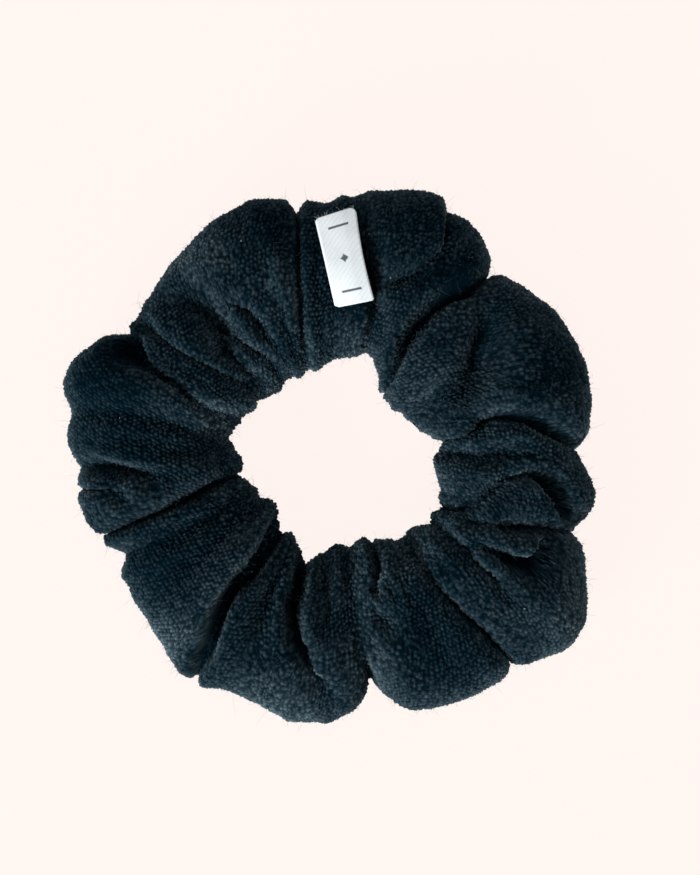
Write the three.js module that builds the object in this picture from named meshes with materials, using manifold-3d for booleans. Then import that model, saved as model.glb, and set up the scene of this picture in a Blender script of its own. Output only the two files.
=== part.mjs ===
// A gathered hair scrunchie: a cloth sleeve sewn into a ring round a loop of flat elastic, with a
// folded ribbon label caught in the seam that closes the sleeve.
// Millimetres, +Z up. The ring lies flat on z = 0 and its outline is centred on the Z axis.
// Angles are in degrees, anticlockwise from +X seen from above.

import * as THREE from 'three';
import { mergeVertices } from 'three/addons/utils/BufferGeometryUtils.js';
import Module from 'manifold-3d';

const wasm = await Module();
wasm.setup();

// Driving dimensions

// One row for each crest and notch of the gathered sleeve: angle, outer radius, inner radius, top height.
const FOLDS = [
  [2, 54.0, 22.8, 22.0],
  [16, 58.6, 21.7, 25.5],
  [28, 57.6, 18.6, 23.5],
  [37, 57.9, 17.3, 25.5],
  [48, 52.0, 17.1, 21.0],
  [63, 60.0, 21.8, 26.0],
  [79, 58.4, 22.0, 23.5],
  [90, 55.2, 19.8, 24.5],
  [100, 55.2, 18.7, 23.0],
  [109, 57.8, 18.5, 25.5],
  [126, 54.2, 16.6, 24.0],
  [137, 52.9, 17.9, 25.0],
  [145, 51.0, 18.6, 22.0],
  [152, 55.0, 19.4, 21.5],
  [162, 59.6, 20.3, 25.5],
  [175, 56.4, 20.0, 25.0],
  [188, 52.2, 18.7, 21.5],
  [194, 54.5, 19.6, 24.0],
  [199, 53.0, 18.3, 22.0],
  [208, 49.9, 16.9, 23.0],
  [232, 55.5, 17.1, 26.0],
  [238, 55.6, 18.8, 21.5],
  [246, 55.8, 19.6, 25.0],
  [262, 58.0, 22.1, 24.0],
  [279, 50.1, 19.5, 21.5],
  [291, 58.4, 19.6, 25.0],
  [303, 60.5, 21.6, 25.5],
  [311, 57.6, 22.4, 22.5],
  [324, 66.0, 24.5, 26.0],
  [334, 61.6, 25.4, 22.5],
  [343, 56.2, 23.5, 23.0],
  [351, 57.5, 22.9, 25.0],
];
const STATIONS = 72;          // sections along the ring
const SECTION_STEPS = 13;     // points round one section
const SQUARENESS = 0.8;       // 1 is an ellipse, less is boxier
const MID_HEIGHT = 12;        // height of the section's widest level
const REST_SINK = 2.5;        // how far the round section is flattened where it rests
const OUTER_LEAN_RADIUS = 58; // where the lean of the outer outline is taken
const INNER_LEAN_RADIUS = 22; // where the lean of the hole's outline is taken
const CLOTH = 1.5;            // thickness of the looped knit
const LONG_SEAM_GAP = 0.4;    // between the two edges of the seam under the ring
const LONG_SEAM_FLAP = 5;     // seam allowance standing inside the tube
const LONG_SEAM_TURN = 18;    // degrees of the section, on each side of that seam, that the flaps take up
const END_FLAP = 3.5;         // seam allowance inside the tube at its two joined ends
const END_FLAP_TURN = 24;     // degrees of the section left free of it on each side of the long seam
const SLANT_DEPTH = 1.5;      // how much deeper that allowance stands beside the hole

// The closing seam runs through these two points (x, y), the ends of the label's sewn edge.
const LABEL_INNER = new THREE.Vector2(9.1, 33.4);
const LABEL_OUTER = new THREE.Vector2(5.5, 53.1);
const SEAM_ANGLE = 79.5;
const SEAM_REACH = 60;        // how far round the ring the sections lean with the seam
const SEAM_GAP = 1.5;         // room for the label's tail between the tube's ends

const RIBBON = 0.35;          // thickness of one layer of the label
const RIBBON_GAP = 0.3;       // between the label's two layers
const FOLD_SEGMENTS = 5;      // flats round the label's fold
const LABEL_WIDTH = 8.4;      // sewn edge to fold
const TAIL_DEPTH = 4.2;       // part of the label held in the seam
const LABEL_LEAN = 5;         // degrees that the flap rises towards its fold
const LABEL_RISE_INNER = 25.6; // height of the sewn edge's end beside the hole
const LABEL_RISE_OUTER = 24.0; // height of its other end

const ELASTIC_RADIUS = 32;
const ELASTIC_WIDTH = 6;
const ELASTIC_THICKNESS = 1.2;
const ELASTIC_LEVEL = 12.5;
const ELASTIC_SECTIONS = 76;
const LAP_START = 250;        // where the elastic's ends lap
const LAP_DEGREES = 21;
const LAP_RAMP = 20;          // degrees in which the upper end climbs on to the lower one
const LAP_SETTLE = 1;         // degrees that it lies level before the lap
const CLEARANCE = 0.3;        // between pieces that touch

const THREAD = 0.22;          // thread radius
const THREAD_SEGMENTS = 2;    // half the sides of a thread
const STITCH_ARCH = 2.2;      // height of a stitch over the edges it binds
const STITCH_HOOK = 0.7;      // how far it starts below those edges
const STITCH_SLACK = 3 * CLEARANCE;
const LONG_SEAM_PASSES = 36;
const LONG_SEAM_MARGIN = 8;   // degrees left unstitched at each end of the long seam
const CLOSING_SEAM_PASSES = 20;
const CLOSING_SEAM_START = -50; // where its stitches start round the section, in degrees
const CLOSING_SEAM_SPAN = 280;
const STEPS_PER_PASS = 5;
const TACK_TURNS = 5;         // turns of thread that bind the elastic's lap
const TACK_POINTS = 8;        // points that set one turn's shape
const TACK_STEPS = 16;        // steps along one turn
const TACK_MARGIN = 4;        // degrees of the lap left free at each end
const TACK_SLACK = 0.2;
const TACK_TENSION = 0.25;    // 0 gives square corners

const COLOURS = { knit: 0x1b2327, elastic: 0x16191b, thread: 0x15191c, ribbon: 0xe9ecef };

// Shapes of the gathered ring

const radians = THREE.MathUtils.degToRad;
const seamAlong = LABEL_OUTER.clone().sub(LABEL_INNER).normalize();
const seamAcross = new THREE.Vector2(seamAlong.y, -seamAlong.x);
const seamOffset = LABEL_OUTER.dot(seamAcross);

function wrapped(angle) {
  return THREE.MathUtils.euclideanModulo(angle + 180, 360) - 180;
}

// How far, in degrees, the closing seam is from SEAM_ANGLE at this radius.
function seamLean(radius) {
  const seam = seamAcross.angle() + Math.acos(seamOffset / radius);
  return wrapped(THREE.MathUtils.radToDeg(seam) - SEAM_ANGLE);
}

// An angle at a radius, once the ring's sections have leaned with the closing seam.
function leaned(angle, radius) {
  const away = Math.min(1, Math.abs(wrapped(angle - SEAM_ANGLE)) / SEAM_REACH);
  return angle + seamLean(radius) * (1 - THREE.MathUtils.smoothstep(away, 0, 1));
}

// Outer radius, inner radius and top height at an angle, eased from one fold row to the next.
function foldValue(angle, column) {
  const at = THREE.MathUtils.euclideanModulo(angle, 360);
  let after = FOLDS.findIndex((row) => row[0] > at);
  if (after < 0) after = 0;
  const next = FOLDS[after];
  const last = FOLDS[(after + FOLDS.length - 1) % FOLDS.length];
  const span = THREE.MathUtils.euclideanModulo(next[0] - last[0], 360);
  const share = THREE.MathUtils.euclideanModulo(at - last[0], 360) / span;
  const eased = (1 - Math.cos(Math.PI * share)) / 2;
  return THREE.MathUtils.lerp(last[column], next[column], eased);
}

function foldAt(angle) {
  const outer = foldValue(leaned(angle, OUTER_LEAN_RADIUS), 1);
  const inner = foldValue(leaned(angle, INNER_LEAN_RADIUS), 2);
  return { outer, inner, top: foldValue(angle, 3), middle: (outer + inner) / 2 };
}

// A point of the tube's section as (radius, height). inset moves it inwards from the outside face.
function sectionPoint(fold, turn, inset) {
  const c = Math.cos(radians(turn));
  const s = Math.sin(radians(turn));
  const across = Math.sign(c) * Math.abs(c) ** SQUARENESS;
  const up = Math.abs(s) ** SQUARENESS;
  const radius = fold.middle + ((fold.outer - fold.inner) / 2 - inset) * across;
  const reach = s > 0 ? fold.top - MID_HEIGHT - inset : -(MID_HEIGHT + REST_SINK - inset);
  return new THREE.Vector2(radius, Math.max(inset, MID_HEIGHT + reach * up));
}

// Puts a section point in the ring. shift moves it across the closing seam.
function place(angle, point, shift = 0) {
  const a = radians(leaned(angle, point.x));
  return new THREE.Vector3(
    point.x * Math.cos(a) + shift * seamAcross.x,
    point.x * Math.sin(a) + shift * seamAcross.y,
    point.y,
  );
}

// Turns from just past the seam under the tube, up its outer side and down its inner side.
function turnsRound(clear) {
  const start = -90 + clear;
  const span = 360 - 2 * clear;
  return Array.from({ length: SECTION_STEPS }, (_, i) => start + (span * i) / (SECTION_STEPS - 1));
}

function sleeveProfile(fold) {
  const edge = LONG_SEAM_GAP / 2;
  const back = edge + CLOTH;
  const turns = turnsRound(LONG_SEAM_TURN);
  const outside = turns.map((turn) => sectionPoint(fold, turn, 0));
  const inside = turns.map((turn) => sectionPoint(fold, turn, CLOTH)).reverse();
  const flap = [[-edge, 0], [-edge, LONG_SEAM_FLAP], [-back, LONG_SEAM_FLAP], [-back, CLOTH]];
  const innerFlap = flap.map(([x, z]) => new THREE.Vector2(fold.middle + x, z));
  const outerFlap = flap.map(([x, z]) => new THREE.Vector2(fold.middle - x, z)).reverse();
  return [...outside, ...innerFlap, ...inside, ...outerFlap];
}

function endFlapProfile(fold) {
  const turns = turnsRound(END_FLAP_TURN);
  const outside = turns.map((turn) => sectionPoint(fold, turn, CLOTH / 2));
  const inside = turns.map((turn) => sectionPoint(fold, turn, CLOTH + END_FLAP)).reverse();
  return [...outside, ...inside];
}

// Geometry helpers

// Joins equal rings of points into a closed skin, with both ends capped.
function loft(rings, flatProfile) {
  const count = rings[0].length;
  const positions = rings.flat().flatMap((p) => [p.x, p.y, p.z]);
  const index = [];
  for (let ring = 0; ring < rings.length - 1; ring++) {
    for (let i = 0; i < count; i++) {
      const a = ring * count + i;
      const b = ring * count + ((i + 1) % count);
      index.push(a, a + count, b, b, a + count, b + count);
    }
  }
  const last = (rings.length - 1) * count;
  for (const [a, b, c] of THREE.ShapeUtils.triangulateShape(flatProfile, [])) {
    index.push(a, b, c, last + c, last + b, last + a);
  }
  const geometry = new THREE.BufferGeometry();
  geometry.setAttribute('position', new THREE.Float32BufferAttribute(positions, 3));
  geometry.setIndex(index);
  return geometry;
}

// A solid for joining. Its corners are merged first, because a solid needs a watertight mesh.
function toSolid(geometry) {
  const bare = geometry.clone();
  bare.deleteAttribute('normal');
  bare.deleteAttribute('uv');
  const merged = mergeVertices(bare, 1e-4);
  const vertProperties = new Float32Array(merged.attributes.position.array);
  const triVerts = new Uint32Array(merged.index.array);
  return new wasm.Manifold(new wasm.Mesh({ numProp: 3, vertProperties, triVerts }));
}

function toGeometry(solid) {
  const mesh = solid.getMesh();
  const geometry = new THREE.BufferGeometry();
  geometry.setAttribute('position', new THREE.BufferAttribute(mesh.vertProperties, 3));
  geometry.setIndex(new THREE.BufferAttribute(mesh.triVerts, 1));
  return geometry;
}

function thread(curve, steps) {
  const round = new THREE.Shape();
  round.absarc(0, 0, THREAD, 0, 2 * Math.PI);
  return new THREE.ExtrudeGeometry(round, { extrudePath: curve, steps, curveSegments: THREAD_SEGMENTS });
}

// A thread that hooks back and forth over an edge. at(share, side, rise) gives the point that is
// share of the way along the edge, side across it and rise above where the stitches start.
class EdgeStitches extends THREE.Curve {
  constructor(passes, halfWidth, at) {
    super();
    this.passes = passes;
    this.halfWidth = halfWidth;
    this.at = at;
  }

  getPoint(share, target = new THREE.Vector3()) {
    const arch = (Math.PI / 2) * (1 - Math.cos(Math.PI * share * this.passes));
    return target.copy(this.at(share, this.halfWidth * Math.cos(arch), STITCH_ARCH * Math.sin(arch)));
  }

  // Every pass takes the same number of steps, so points are taken by share and not by length.
  getPointAt(share, target) {
    return this.getPoint(share, target);
  }

  getTangentAt(share, target) {
    return this.getTangent(share, target);
  }
}

// Sub-parts

// The cloth turned into the tube at one of its two ends. side is 1 at the end reached last.
function endFlap(side) {
  const step = 360 / STATIONS;
  const profile = endFlapProfile(foldAt(SEAM_ANGLE));
  const edge = profile.map((point) => place(SEAM_ANGLE, point, (side * SEAM_GAP) / 2));
  const beyond = endFlapProfile(foldAt(SEAM_ANGLE - side * step))
    .map((point) => place(SEAM_ANGLE - side * step, point));
  const share = CLOTH / (radians(step) * foldAt(SEAM_ANGLE).middle);
  const back = edge.map((point, i) => point.clone().lerp(beyond[i], share));
  return loft(side > 0 ? [back, edge] : [edge, back], profile);
}

function fabricSleeve() {
  const rings = [];
  for (let i = 0; i <= STATIONS; i++) {
    const angle = SEAM_ANGLE + (360 * i) / STATIONS;
    const shift = i === 0 ? -SEAM_GAP / 2 : i === STATIONS ? SEAM_GAP / 2 : 0;
    rings.push(sleeveProfile(foldAt(angle)).map((point) => place(angle, point, shift)));
  }
  let sleeve = toSolid(loft(rings, sleeveProfile(foldAt(SEAM_ANGLE))));
  for (const side of [-1, 1]) sleeve = sleeve.add(toSolid(endFlap(side)));
  return toGeometry(sleeve);
}

function longSeamThread() {
  const start = SEAM_ANGLE + LONG_SEAM_MARGIN;
  const span = 360 - 2 * LONG_SEAM_MARGIN;
  const low = LONG_SEAM_FLAP - STITCH_HOOK;
  const at = (share, side, rise) => {
    const angle = start + span * share;
    return place(angle, new THREE.Vector2(foldAt(angle).middle + side, low + rise));
  };
  const halfWidth = LONG_SEAM_GAP / 2 + CLOTH + STITCH_SLACK + THREAD;
  const curve = new EdgeStitches(LONG_SEAM_PASSES, halfWidth, at);
  return thread(curve, LONG_SEAM_PASSES * STEPS_PER_PASS);
}

function closingSeamThread() {
  const fold = foldAt(SEAM_ANGLE);
  const low = CLOTH + END_FLAP - STITCH_HOOK;
  const at = (share, side, rise) => {
    const turn = CLOSING_SEAM_START + CLOSING_SEAM_SPAN * share;
    // Near the hole the tube meets the seam at a slant, so the flap stands deeper there.
    const slant = SLANT_DEPTH * Math.max(0, -Math.cos(radians(turn)));
    return place(SEAM_ANGLE, sectionPoint(fold, turn, low + slant + rise), side);
  };
  const halfWidth = SEAM_GAP / 2 + CLOTH + STITCH_SLACK + THREAD;
  const curve = new EdgeStitches(CLOSING_SEAM_PASSES, halfWidth, at);
  return thread(curve, CLOSING_SEAM_PASSES * STEPS_PER_PASS);
}

function elasticLoop() {
  const half = ELASTIC_THICKNESS / 2;
  const low = ELASTIC_LEVEL - ELASTIC_WIDTH / 2;
  const high = ELASTIC_LEVEL + ELASTIC_WIDTH / 2;
  const corners = [[-half, low], [half, low], [half, high], [-half, high]];
  const profile = corners.map(([x, z]) => new THREE.Vector2(x, z));
  const rings = [];
  for (let i = 0; i <= ELASTIC_SECTIONS; i++) {
    const along = ((360 + LAP_DEGREES) * i) / ELASTIC_SECTIONS;
    const onTop = THREE.MathUtils.smoothstep(along, 360 - LAP_RAMP, 360 - LAP_SETTLE);
    const radius = ELASTIC_RADIUS + (ELASTIC_THICKNESS + CLEARANCE) * onTop;
    const a = radians(LAP_START + along);
    rings.push(profile.map((p) =>
      new THREE.Vector3((radius + p.x) * Math.cos(a), (radius + p.x) * Math.sin(a), p.y)));
  }
  return loft(rings, profile);
}

function elasticJoinStitches() {
  const middle = ELASTIC_RADIUS + (ELASTIC_THICKNESS + CLEARANCE) / 2;
  const halfDeep = ELASTIC_THICKNESS + CLEARANCE / 2 + CLEARANCE + THREAD + TACK_SLACK;
  const halfHigh = ELASTIC_WIDTH / 2 + CLEARANCE + THREAD + TACK_SLACK;
  const count = TACK_TURNS * TACK_POINTS;
  const points = [];
  for (let i = 0; i <= count; i++) {
    const turn = (2 * Math.PI * i) / TACK_POINTS;
    const a = radians(LAP_START + TACK_MARGIN + ((LAP_DEGREES - 2 * TACK_MARGIN) * i) / count);
    const stretch = 1 / Math.max(Math.abs(Math.cos(turn)), Math.abs(Math.sin(turn)));
    const radius = middle + halfDeep * Math.cos(turn) * stretch;
    const height = ELASTIC_LEVEL + halfHigh * Math.sin(turn) * stretch;
    points.push(new THREE.Vector3(radius * Math.cos(a), radius * Math.sin(a), height));
  }
  const curve = new THREE.CatmullRomCurve3(points, false, 'catmullrom', TACK_TENSION);
  return thread(curve, TACK_TURNS * TACK_STEPS);
}

// The label's own frame: X away from the sewn edge, Y along it towards the hole, Z up.
function labelFrame() {
  const inner = new THREE.Vector3(LABEL_INNER.x, LABEL_INNER.y, LABEL_RISE_INNER);
  const outer = new THREE.Vector3(LABEL_OUTER.x, LABEL_OUTER.y, LABEL_RISE_OUTER);
  const inwards = inner.clone().sub(outer).normalize();
  const away = new THREE.Vector3(-seamAcross.x, -seamAcross.y, 0);
  const matrix = new THREE.Matrix4().makeBasis(away, inwards, away.clone().cross(inwards));
  return { middle: inner.clone().add(outer).divideScalar(2), length: inner.distanceTo(outer), matrix };
}

// The folded ribbon's outline across its width: two layers that meet in a round fold.
function ribbonOutline() {
  const outer = RIBBON + RIBBON_GAP / 2;
  const inner = RIBBON_GAP / 2;
  const start = CLEARANCE;
  const fold = LABEL_WIDTH - outer;
  const shape = new THREE.Shape();
  shape.moveTo(start, -outer);
  shape.lineTo(fold, -outer);
  shape.absarc(fold, 0, outer, -Math.PI / 2, Math.PI / 2, false);
  shape.lineTo(start, outer);
  shape.lineTo(start, inner);
  shape.lineTo(fold, inner);
  shape.absarc(fold, 0, inner, Math.PI / 2, -Math.PI / 2, true);
  shape.lineTo(start, -inner);
  shape.closePath();
  return shape;
}

function labelFlap() {
  const { length } = labelFrame();
  const settings = { depth: length, bevelEnabled: false, curveSegments: FOLD_SEGMENTS };
  const geometry = new THREE.ExtrudeGeometry(ribbonOutline(), settings);
  // The extrusion runs along +Z: lay it along Y, with the fold still towards +X.
  geometry.rotateX(Math.PI / 2);
  geometry.translate(0, length / 2, 0);
  return geometry;
}

function labelTail() {
  const { length } = labelFrame();
  return new THREE.BoxGeometry(2 * RIBBON, length, TAIL_DEPTH);
}

// Assembly

const scrunchie = new THREE.Group();
scrunchie.name = 'scrunchie';

function add(name, geometry, color, roughness, parent = scrunchie) {
  const material = new THREE.MeshStandardMaterial({ color, roughness, metalness: 0 });
  const mesh = new THREE.Mesh(geometry, material);
  mesh.name = name;
  parent.add(mesh);
  return mesh;
}

add('fabric_sleeve', fabricSleeve(), COLOURS.knit, 0.95);
add('long_seam_thread', longSeamThread(), COLOURS.thread, 0.8);
add('closing_seam_thread', closingSeamThread(), COLOURS.thread, 0.8);

const elastic = new THREE.Group();
elastic.name = 'elastic';
scrunchie.add(elastic);
add('elastic_loop', elasticLoop(), COLOURS.elastic, 0.7, elastic);
add('elastic_join_stitches', elasticJoinStitches(), COLOURS.thread, 0.8, elastic);

const frame = labelFrame();
const label = new THREE.Group();
label.name = 'label';
label.position.copy(frame.middle);
label.setRotationFromMatrix(frame.matrix);
scrunchie.add(label);
const flap = add('label_flap', labelFlap(), COLOURS.ribbon, 0.75, label);
flap.rotation.y = radians(-LABEL_LEAN);
const tail = add('label_tail', labelTail(), COLOURS.ribbon, 0.75, label);
tail.position.z = -TAIL_DEPTH / 2 - RIBBON - RIBBON_GAP / 2 - CLEARANCE;

export default scrunchie;
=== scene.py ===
"""A gathered knit scrunchie with a folded ribbon label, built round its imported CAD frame.

Lengths in the shape functions are millimetres and angles are degrees, anticlockwise from +X seen
from above. Meshes are turned into metres when they are made.
"""

import math

import bpy
import numpy as np
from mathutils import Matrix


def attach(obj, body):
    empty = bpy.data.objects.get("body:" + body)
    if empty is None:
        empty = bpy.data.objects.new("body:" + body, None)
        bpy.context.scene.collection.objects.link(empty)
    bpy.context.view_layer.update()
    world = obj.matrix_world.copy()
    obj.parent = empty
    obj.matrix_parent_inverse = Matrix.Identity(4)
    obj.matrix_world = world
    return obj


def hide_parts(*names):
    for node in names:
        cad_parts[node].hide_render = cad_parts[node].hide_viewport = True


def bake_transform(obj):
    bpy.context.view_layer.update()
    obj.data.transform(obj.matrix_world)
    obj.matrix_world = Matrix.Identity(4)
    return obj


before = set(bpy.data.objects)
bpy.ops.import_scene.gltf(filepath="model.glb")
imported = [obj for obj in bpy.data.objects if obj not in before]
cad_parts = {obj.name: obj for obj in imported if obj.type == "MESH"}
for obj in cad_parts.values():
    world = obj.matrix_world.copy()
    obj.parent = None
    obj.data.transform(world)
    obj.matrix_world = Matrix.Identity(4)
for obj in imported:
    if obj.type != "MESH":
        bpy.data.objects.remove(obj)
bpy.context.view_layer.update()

MM = 0.001

# ------------------------ the sleeve's shape

# Crest line of the folds: angle, outer radius, inner radius, top height.
ENVELOPE = [
    (0, 55.8, 21.7, 24.5), (10, 57.2, 23.2, 25.5), (20, 58.3, 18.8, 26.0), (32, 57.3, 16.0, 26.5),
    (41, 55.6, 16.2, 26.0), (49, 54.4, 16.0, 25.5), (56, 58.4, 18.8, 25.0), (64, 60.7, 21.6, 26.0),
    (76, 59.1, 21.8, 25.0), (86, 56.8, 20.4, 24.0), (94, 55.2, 18.4, 24.0), (102, 56.3, 17.8, 25.0),
    (108, 57.6, 17.8, 26.0), (120, 56.5, 16.2, 25.5), (130, 54.0, 15.4, 25.5), (142, 51.8, 17.2, 25.5),
    (148, 52.6, 18.6, 24.5), (153, 56.2, 18.8, 25.0), (162, 60.0, 19.0, 26.5), (172, 57.2, 19.4, 26.0),
    (182, 56.8, 17.2, 25.5), (193, 55.3, 18.0, 24.5), (204, 52.0, 16.2, 24.5), (212, 51.8, 15.7, 25.0),
    (226, 54.2, 15.2, 26.5), (238, 58.0, 17.4, 26.0), (248, 55.3, 18.2, 25.5), (262, 58.4, 22.4, 25.5),
    (271, 57.4, 18.6, 24.5), (281, 53.6, 18.4, 24.5), (290, 59.0, 18.2, 25.5), (304, 60.8, 20.9, 26.0),
    (314, 62.4, 22.4, 25.5), (324, 66.4, 24.0, 26.5), (334, 61.3, 24.2, 26.0), (342, 57.4, 24.2, 25.0),
    (351, 57.4, 21.8, 25.5),
]

# The deep folds that part the sleeve into lobes. Each is a line over the top of the tube, as
# (radius, angle, depth) from its outside to the hole, then the widths of its anticlockwise and
# clockwise banks, half the width of its floor, and its lip. A positive lip leans the anticlockwise
# bank over the fold, a negative one the clockwise bank.
VALLEYS = [
    ([(58, 2, 3), (52, 6.6, 10), (49, 8.5, 12), (45, 11.7, 13.5), (39, 14.8, 13.5), (34, 15, 10.5),
      (30, 12, 7), (26, 10.5, 5), (22, 10, 4)], (3, 5.5), 1.2, 2.2),
    ([(58, 47.5, 5.5), (51, 48.9, 11), (48.5, 51.3, 13.5), (44, 53.3, 14), (39, 53.8, 13),
      (32.5, 54.7, 12), (26.7, 54, 10), (21, 50, 7), (18, 47, 5)], (3.4, 2.2), 1.3, -1.1),
    ([(56, 85, 0.8), (49, 81.5, 6), (42, 78, 9), (36, 75, 5.5), (30, 72, 3), (22, 70, 2.5)],
     (1.6, 5), 1.3, 0),
    ([(56, 98, 3), (51, 98.2, 5.2), (45, 99, 6), (38.5, 100.4, 5.4), (31, 101.7, 4), (25, 103.2, 3.2),
      (18, 104, 2.5)], (1.6, 2.6), 0.9, 0.3),
    ([(57, 149.5, 2.5), (54, 151, 7.5), (51, 152.8, 11), (48, 154.2, 10), (44.5, 155, 7),
      (41, 155.4, 5.5), (35, 156.6, 5), (29, 159.1, 4.5), (23.5, 160.3, 4)], (3.6, 2.4), 1.8, 0.8),
    ([(55, 199, 2.5), (50, 198.4, 9), (42, 197.8, 11.5), (36, 197, 12), (28, 195.7, 12),
      (21, 192.5, 11.5), (17, 191, 9)], (3, 4.2), 0.8, -1.4),
    ([(60, 239, 2.5), (53.4, 237.8, 8.5), (49.7, 237.5, 12.5), (45.4, 236, 14), (40, 234.1, 15),
      (33.5, 233.7, 15), (28, 235.1, 15), (23.8, 235.1, 14), (19.3, 234.9, 13), (17, 234, 11)],
     (2.4, 1.5), 1.7, -1.2),
    ([(56, 272, 0.3), (52, 269, 1.4), (48.5, 266.5, 4), (45, 264, 8), (40, 259.8, 12.5), (35, 257.4, 13),
      (29.5, 258, 10.5), (23, 257.8, 9), (18, 258, 6)], (3.5, 3.5), 1.2, 1),
    ([(60, 312, 6.5), (56.5, 312, 8.5), (52, 312, 10), (47.5, 311.2, 10), (41, 311, 7.5),
      (34.7, 310.4, 5), (29, 310.5, 4.5), (24, 312.5, 3.6), (20, 313, 3)], (2.8, 4.5), 0.8, 1.2),
    ([(60, 342.5, 4.5), (55, 342, 7.5), (52, 341.8, 9.5), (46, 340, 11), (41.5, 338.3, 10),
      (37, 337.5, 4.5), (30, 333, 1.5), (24, 328, 2)], (4, 3.5), 0.8, 1.2),
]

# Shallower and shorter folds inside the lobes, in the same form.
CREASES = [
    ([(52, 144.5, 0), (49, 145, 2.5), (46, 145.6, 5), (38, 145.6, 5), (28, 143.5, 4.5), (21, 141, 3.5)],
     (2.6, 3), 0.4, 0.6),
    ([(56, 187.5, 6.5), (50, 188.5, 4), (46, 191, 2.4), (42, 193, 0)], (3.5, 3.5), 0.4, -0.8),
    ([(54, 205.5, 3.5), (48, 206, 3.4), (42, 206.5, 2.8), (28, 208, 3), (17, 206, 2)], (5, 5), 0.3, 0),
    ([(57, 280.5, 8), (51, 280.5, 6.5), (45, 279.5, 3.6), (30, 277, 2.4), (19, 277, 2.8)], (7, 6), 1, 0),
    ([(60, 64.5, 2.5), (57, 64, 5), (51.5, 61.7, 5), (44.5, 65, 4), (39, 71, 2), (34, 74, 0)],
     (2.2, 6), 0.4, 0.8),
    ([(42, 124, 0), (39.5, 122.5, 5), (35, 119.5, 6), (31, 118, 3), (24, 117, 2), (17, 117, 2)],
     (2.6, 3), 0.5, 0.5),
    ([(40, 131, 0), (34, 130, 4.5), (28, 128, 5), (22, 124, 4), (17, 123, 3)], (3, 3.5), 0.4, 0.8),
    ([(36, 137, 0), (30, 136, 3.4), (23, 135, 3.8), (17, 134, 3)], (3.4, 3.4), 0.3, -0.6),
    ([(55, 108, 0), (48, 109, 1), (40, 110, 1.2), (30, 110, 2.2), (19, 110, 2.8)], (4.5, 4), 0.3, 0),
    ([(46, 219, 0), (40, 218.5, 1.2), (32, 218, 2.2), (24, 217, 3), (16, 216, 3)], (4.5, 4.5), 0.3, 0.8),
    ([(48, 249, 0), (40, 248, 1.5), (30, 247, 3), (19, 246, 4)], (4, 4), 0.3, 0.6),
    ([(40, 270, 0), (33, 269.5, 2.5), (26, 268, 3), (18, 268, 3)], (3.5, 3.5), 0.4, 0),
    ([(33, 288, 0), (29, 289.5, 4.5), (25.8, 292, 6), (21.7, 295, 6.5), (18, 296, 5)], (2, 2), 0.5, 0),
    ([(60, 341, 0.5), (57, 339, 3.5), (54, 335, 8), (51, 330.5, 12), (47, 329, 11), (43, 329.3, 7),
      (38, 329, 4), (32, 328, 0)], (3, 3.5), 1.5, -0.8),
    ([(53, 322.5, 0), (50, 323, 1.5), (43.4, 323.7, 5), (40, 323.5, 5.5), (36.5, 325.4, 3.5),
      (27.7, 327, 3), (23, 327, 2.5)], (3.2, 3.6), 0.5, 0.6),
    ([(58, 344, 0), (54, 346.5, 7), (52, 348.3, 10), (48.5, 351.7, 10.5), (44, 354, 6), (38, 351.5, 4),
      (31, 342.5, 3.5), (26.5, 337, 4.2), (22, 335, 3.5)], (3.5, 2.8), 1.5, -0.8),
    ([(44, 3, 0), (38, 1, 2.6), (30, 0, 3), (22, 1, 3)], (4, 4), 0.3, 0),
]

# Hollows with no sharp bottom: the same lines, each with one width for both sides.
HOLLOWS = [
    ([(54, 41, 0), (50, 39.5, 3.5), (47, 37.5, 7), (44, 35.5, 9), (40, 33, 8.5), (36, 30.5, 6.5),
      (31, 28, 4.5), (25, 25.5, 3)], 4.4),
    ([(58, 183.5, 0), (55.5, 182.3, 4.5), (52, 182.5, 7), (47, 184.2, 7), (42, 185.5, 4.5),
      (36, 187, 1.5), (30, 188, 0)], 2.2),
    ([(52, 134, 0), (48, 132, 4), (44, 130.5, 7), (38, 131, 7.5), (32, 132.5, 4.5), (26, 133, 2)], 3.8),
    ([(57, 170, 1.4), (48, 169, 2.8), (38, 168, 3.4), (29, 170, 3.4), (20, 172, 3)], 3),
    ([(52, 177, 0), (45, 176, 1.6), (37, 176.5, 2), (26, 179, 2)], 2.8),
    ([(56, 90, 0.8), (48, 90, 1.4), (38, 88, 1.4), (28, 87, 0.8)], 3.2),
    ([(44, 289, 0), (38, 289.6, 3), (33, 289, 0)], 2.6),
    ([(56, 296, 0), (48, 301, 2.4), (40, 304, 2.8), (32, 305, 1)], 5),
]

# Patches of painted light and shade on the pile: angle, radius, size and share of brightness gained.
# The first eight are painted shade beside the deepest folds; the rest pale or darken lobes and banks as
# painted light and shade.
PAINTED_LIGHT_PATCHES = [
    (97.5, 50, 1.6, -0.5), (98.5, 45, 1.6, -0.5), (153.8, 48.6, 3.8, -0.92), (53.5, 49, 4.2, -0.75),
    (37.3, 40.5, 2.3, -0.8), (33.5, 36, 1.8, -0.6), (236.3, 50, 2.2, -0.7), (236.9, 54, 2.2, -0.7),
    (123, 50, 7, 0.8), (106, 50, 7, -0.5), (72, 51, 9, -0.3), (50, 43, 3, 0.4),
    (40, 25, 5, 0.5), (21, 50, 8, -0.35), (215, 41, 8, -0.4), (231, 52, 7, 1.0),
    (230, 38, 4, 0.9), (230, 30, 3, 0.7), (57, 45, 4, -0.65), (260, 53, 8, 0.7),
    (326, 60, 8, 0.7), (302, 45, 8, -0.4), (281, 45, 5, 0.6), (285, 38, 7, 0.3),
    (150, 41, 4, 0.4), (160, 25, 5, 0.6), (130, 21, 5, 0.6), (76, 27, 5, 0.2),
    (163, 51, 9, -0.5), (181, 40, 7, -0.35),
]

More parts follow.
